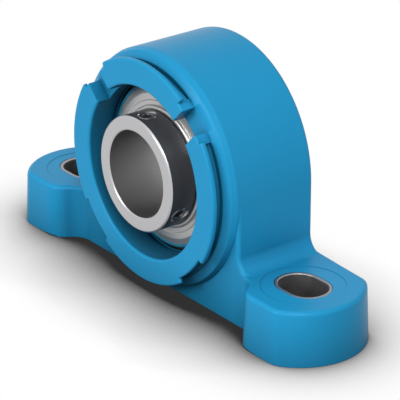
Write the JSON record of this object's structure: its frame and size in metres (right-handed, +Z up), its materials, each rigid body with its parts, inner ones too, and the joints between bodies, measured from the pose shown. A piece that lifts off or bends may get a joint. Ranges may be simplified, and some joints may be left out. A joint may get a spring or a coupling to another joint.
{
  "type": "pillow block ball bearing unit",
  "caption": "Two-foot pillow block with moulded housing, self-aligning ball bearing insert with set screws, flingers, seals and steel-sleeved bolt slots.",
  "frame": {"origin": "on the base plane, midway between the two bolt slots", "axes": "+X along the base towards the right foot, +Y along the shaft towards the rear, +Z up from the base; the screw collar faces -Y"},
  "size_m": [0.1624, 0.0421, 0.0839],
  "materials": {
    "blue_housing": "satin",
    "stainless_sleeve": "satin",
    "polished_ring": "polished",
    "ground_ring": "ground",
    "flinger_steel": "satin",
    "ball_steel": "polished",
    "cage": "matte",
    "seal_rubber": "matte",
    "lip_rubber": "satin",
    "screw_steel": "black oxide"
  },
  "bodies": {
    "housing": {"housing": "blue_housing", "slot_sleeve_left": "stainless_sleeve", "slot_sleeve_right": "stainless_sleeve"},
    "outer_ring": {"outer_ring": "polished_ring", "front_seal": "seal_rubber", "rear_seal": "seal_rubber"},
    "inner_ring": {"inner_ring": "ground_ring", "front_flinger": "flinger_steel", "rear_flinger": "flinger_steel", "front_flinger_lip": "lip_rubber", "rear_flinger_lip": "lip_rubber"},
    "cage": {"ball_cage": "cage"},
    "ball_1": {"ball_1": "ball_steel"},
    "ball_2": {"ball_2": "ball_steel"},
    "ball_3": {"ball_3": "ball_steel"},
    "ball_4": {"ball_4": "ball_steel"},
    "ball_5": {"ball_5": "ball_steel"},
    "ball_6": {"ball_6": "ball_steel"},
    "ball_7": {"ball_7": "ball_steel"},
    "ball_8": {"ball_8": "ball_steel"},
    "ball_9": {"ball_9": "ball_steel"},
    "set_screw_1": {"set_screw_1": "screw_steel"},
    "set_screw_2": {"set_screw_2": "screw_steel"}
  },
  "joints": [
    {"name": "insert_align", "type": "hinge", "parent": "housing", "child": "outer_ring", "pos_m": [0, 0, 0.0429], "axis": [1, 0, 0], "range_deg": [-5, 5]},
    {"name": "shaft_spin", "type": "hinge", "parent": "outer_ring", "child": "inner_ring", "pos_m": [0, 0, 0.0429], "axis": [0, 1, 0], "continuous": true},
    {"name": "cage_spin", "type": "hinge", "parent": "outer_ring", "child": "cage", "pos_m": [0, 0, 0.0429], "axis": [0, 1, 0], "continuous": true},
    {"name": "ball_spin_1", "type": "hinge", "parent": "cage", "child": "ball_1", "pos_m": [0, 0, 0.0659], "axis": [0, 1, 0], "continuous": true},
    {"name": "ball_spin_2", "type": "hinge", "parent": "cage", "child": "ball_2", "pos_m": [0.01478, 0, 0.06052], "axis": [0, 1, 0], "continuous": true},
    {"name": "ball_spin_3", "type": "hinge", "parent": "cage", "child": "ball_3", "pos_m": [0.02265, 0, 0.04689], "axis": [0, 1, 0], "continuous": true},
    {"name": "ball_spin_4", "type": "hinge", "parent": "cage", "child": "ball_4", "pos_m": [0.01992, 0, 0.0314], "axis": [0, 1, 0], "continuous": true},
    {"name": "ball_spin_5", "type": "hinge", "parent": "cage", "child": "ball_5", "pos_m": [0.00787, 0, 0.02129], "axis": [0, 1, 0], "continuous": true},
    {"name": "ball_spin_6", "type": "hinge", "parent": "cage", "child": "ball_6", "pos_m": [-0.00787, 0, 0.02129], "axis": [0, 1, 0], "continuous": true},
    {"name": "ball_spin_7", "type": "hinge", "parent": "cage", "child": "ball_7", "pos_m": [-0.01992, 0, 0.0314], "axis": [0, 1, 0], "continuous": true},
    {"name": "ball_spin_8", "type": "hinge", "parent": "cage", "child": "ball_8", "pos_m": [-0.02265, 0, 0.04689], "axis": [0, 1, 0], "continuous": true},
    {"name": "ball_spin_9", "type": "hinge", "parent": "cage", "child": "ball_9", "pos_m": [-0.01478, 0, 0.06052], "axis": [0, 1, 0], "continuous": true},
    {"name": "screw_travel_1", "type": "slide", "parent": "inner_ring", "child": "set_screw_1", "axis": [0, 0, -1], "range_m": [-0.0016, 0.001]},
    {"name": "screw_travel_2", "type": "slide", "parent": "inner_ring", "child": "set_screw_2", "axis": [-0.866, 0, 0.5], "range_m": [-0.0016, 0.001]}
  ],
  "couplings": [
    {"joint": "cage_spin", "follows": "shaft_spin", "ratio": 0.39647},
    {"joint": "ball_spin_1", "follows": "shaft_spin", "ratio": -2.3112},
    {"joint": "ball_spin_2", "follows": "shaft_spin", "ratio": -2.3112},
    {"joint": "ball_spin_3", "follows": "shaft_spin", "ratio": -2.3112},
    {"joint": "ball_spin_4", "follows": "shaft_spin", "ratio": -2.3112},
    {"joint": "ball_spin_5", "follows": "shaft_spin", "ratio": -2.3112},
    {"joint": "ball_spin_6", "follows": "shaft_spin", "ratio": -2.3112},
    {"joint": "ball_spin_7", "follows": "shaft_spin", "ratio": -2.3112},
    {"joint": "ball_spin_8", "follows": "shaft_spin", "ratio": -2.3112},
    {"joint": "ball_spin_9", "follows": "shaft_spin", "ratio": -2.3112}
  ]
}
